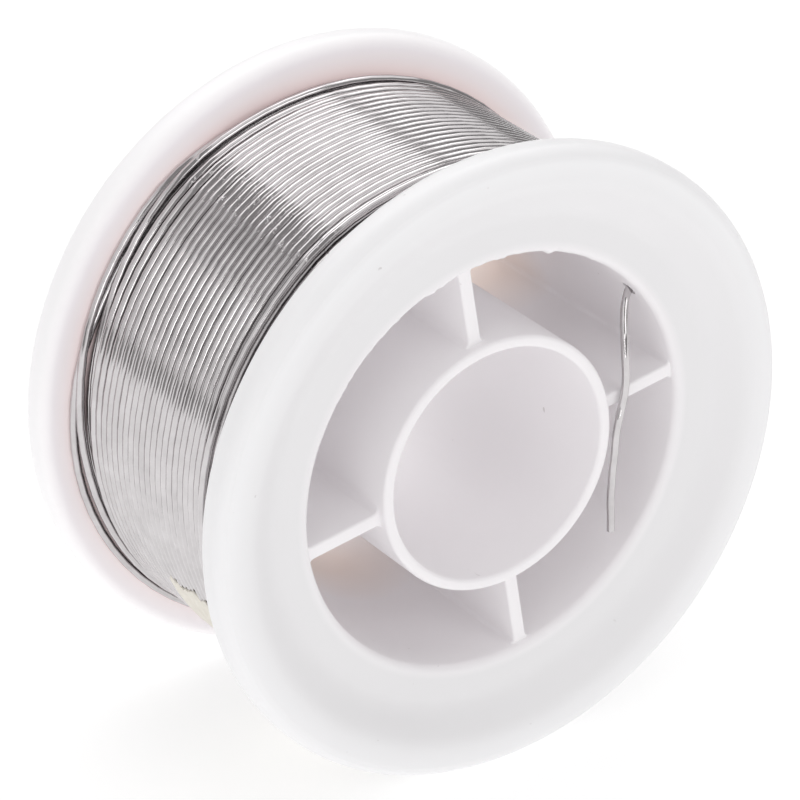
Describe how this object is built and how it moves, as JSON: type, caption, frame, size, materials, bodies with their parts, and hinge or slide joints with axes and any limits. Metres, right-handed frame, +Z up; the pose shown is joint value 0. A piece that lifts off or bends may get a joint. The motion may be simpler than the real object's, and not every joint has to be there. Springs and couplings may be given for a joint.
{
  "type": "solder wire spool",
  "caption": "Moulded spool with two rimmed flanges, a ribbed hub and a through bore, wound with fine solder wire whose inner end hangs in the hub space.",
  "frame": {"origin": "middle of the hub's bore, halfway between the two rims", "axes": "+Y along the bore towards the rear flange, -Y out of the front flange where the wire's inner end shows, +Z up, +X to the right seen from the front"},
  "size_m": [0.064, 0.0348, 0.064],
  "materials": {
    "spool_plastic": "satin milky white moulded plastic, slightly translucent",
    "solder": "bright drawn tin-lead solder with fine draw lines",
    "flux": "hard amber rosin",
    "paper_tape": "creped cream masking paper with a torn toothed end"
  },
  "bodies": {
    "root": {"front_flange": "spool_plastic", "rear_flange": "spool_plastic", "barrel": "spool_plastic", "hub_tube": "spool_plastic", "rib_top": "spool_plastic", "rib_left": "spool_plastic", "rib_bottom": "spool_plastic", "rib_right": "spool_plastic", "solder_winding": "solder", "solder_tail": "solder", "flux_core": "flux", "paper_tab": "paper_tape"}
  },
  "joints": []
}
